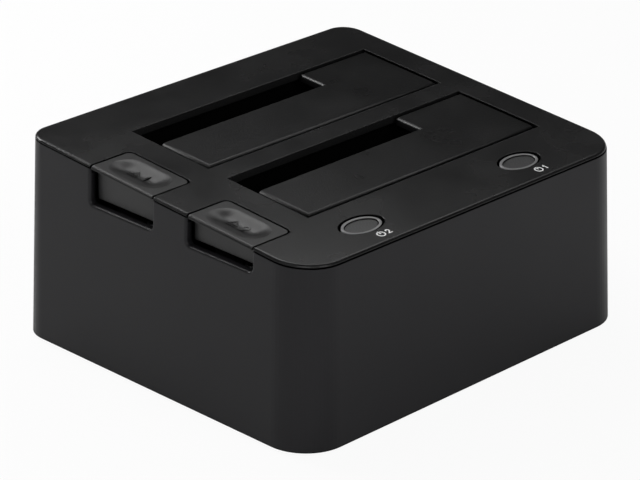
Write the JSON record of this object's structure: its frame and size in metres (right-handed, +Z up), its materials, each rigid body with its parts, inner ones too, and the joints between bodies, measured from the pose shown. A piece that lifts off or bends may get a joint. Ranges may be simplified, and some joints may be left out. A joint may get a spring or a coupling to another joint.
{
  "type": "hard drive docking station",
  "caption": "Desktop dock for bare drives: leaning round-cornered case, sloping top with bays under L-shaped sprung flaps, dished eject caps at the left, oval power buttons.",
  "frame": {"origin": "on the standing surface, under the middle of the case", "axes": "+X to the right along the front, +Y to the back, +Z up"},
  "size_m": [0.1464, 0.1282, 0.0682],
  "materials": {
    "case_black": "finely textured moulded plastic",
    "cover_black": "satin moulded plastic",
    "flap_black": "finely grained moulded plastic",
    "button_black": "satin moulded plastic",
    "lens_smoke": "smoked, finely grained",
    "inner_black": "plain moulded plastic",
    "rubber_black": "matt",
    "steel": "bright wire and turned steel",
    "gold": "plated contacts",
    "board_green": "lacquered circuit board",
    "chip_black": "moulded resin",
    "port_blue": "moulded plastic",
    "cable_grey": "flat cable",
    "lamp_white": "diffuse lamp",
    "lever_grey": "moulded plastic"
  },
  "bodies": {
    "dock_body": {"base_plate": "case_black", "housing": "case_black", "top_cover": "cover_black", "rubber_feet": "rubber_black", "case_screws": "steel", "frame_screws": "steel", "rear_bay_well": "inner_black", "front_bay_well": "inner_black", "rear_flap_pin": "steel", "front_flap_pin": "steel", "rear_flap_spring": "steel", "front_flap_spring": "steel", "rear_lever_pin": "steel", "front_lever_pin": "steel", "rear_eject_spring": "steel", "front_eject_spring": "steel", "tact_switches": "chip_black", "status_leds": "lamp_white", "button_board": "board_green", "button_board_screws": "steel", "button_ribbon": "cable_grey", "ribbon_sockets": "chip_black", "main_board": "board_green", "rear_sata_socket": "chip_black", "front_sata_socket": "chip_black", "rear_sata_contacts": "gold", "front_sata_contacts": "gold", "usb_port_shell": "steel", "usb_port_tongue": "port_blue", "power_jack": "chip_black", "power_jack_pin": "steel", "bridge_chips": "chip_black", "board_capacitors": "steel", "board_coils": "chip_black"},
    "rear_flap": {"rear_flap": "flap_black"},
    "front_flap": {"front_flap": "flap_black"},
    "rear_eject_button": {"rear_eject_button": "button_black"},
    "front_eject_button": {"front_eject_button": "button_black"},
    "rear_eject_lever": {"rear_eject_lever": "lever_grey"},
    "front_eject_lever": {"front_eject_lever": "lever_grey"},
    "power_button_1": {"power_button_1": "button_black", "power_lens_1": "lens_smoke", "switch_plunger_1": "lever_grey"},
    "power_button_2": {"power_button_2": "button_black", "power_lens_2": "lens_smoke", "switch_plunger_2": "lever_grey"}
  },
  "joints": [
    {"name": "rear_flap_hinge", "type": "hinge", "parent": "dock_body", "child": "rear_flap", "pos_m": [0.0075, 0.00975, 0.06207], "axis": [1, 0, 0], "range_deg": [-93, 0], "stiffness_Nm_per_rad": 0.004, "springref_deg": 34.38, "deforming": ["rear_flap_spring"]},
    {"name": "rear_eject_slide", "type": "slide", "parent": "dock_body", "child": "rear_eject_button", "axis": [0, 0, -1], "range_m": [0, 0.005], "stiffness_N_per_m": 300, "springref_m": -0.006, "deforming": ["rear_eject_spring"]},
    {"name": "rear_lever_pivot", "type": "hinge", "parent": "dock_body", "child": "rear_eject_lever", "pos_m": [-0.0495, 0.02205, 0.0132], "axis": [0, -1, 0], "range_deg": [0, 23]},
    {"name": "front_flap_hinge", "type": "hinge", "parent": "dock_body", "child": "front_flap", "pos_m": [0.0075, -0.03295, 0.05915], "axis": [1, 0, 0], "range_deg": [-93, 0], "stiffness_Nm_per_rad": 0.004, "springref_deg": 34.38, "deforming": ["front_flap_spring"]},
    {"name": "front_eject_slide", "type": "slide", "parent": "dock_body", "child": "front_eject_button", "axis": [0, 0, -1], "range_m": [0, 0.005], "stiffness_N_per_m": 300, "springref_m": -0.006, "deforming": ["front_eject_spring"]},
    {"name": "front_lever_pivot", "type": "hinge", "parent": "dock_body", "child": "front_eject_lever", "pos_m": [-0.0495, -0.02065, 0.0132], "axis": [0, -1, 0], "range_deg": [0, 23]},
    {"name": "power_button_1_press", "type": "slide", "parent": "dock_body", "child": "power_button_1", "axis": [0, 0.068, -0.9977], "range_m": [0, 0.0005], "stiffness_N_per_m": 2000, "springref_m": -0.0002},
    {"name": "power_button_2_press", "type": "slide", "parent": "dock_body", "child": "power_button_2", "axis": [0, 0.068, -0.9977], "range_m": [0, 0.0005], "stiffness_N_per_m": 2000, "springref_m": -0.0002}
  ],
  "couplings": [
    {"joint": "rear_lever_pivot", "follows": "rear_eject_slide", "rad_per_m": 80},
    {"joint": "front_lever_pivot", "follows": "front_eject_slide", "rad_per_m": 80}
  ]
}
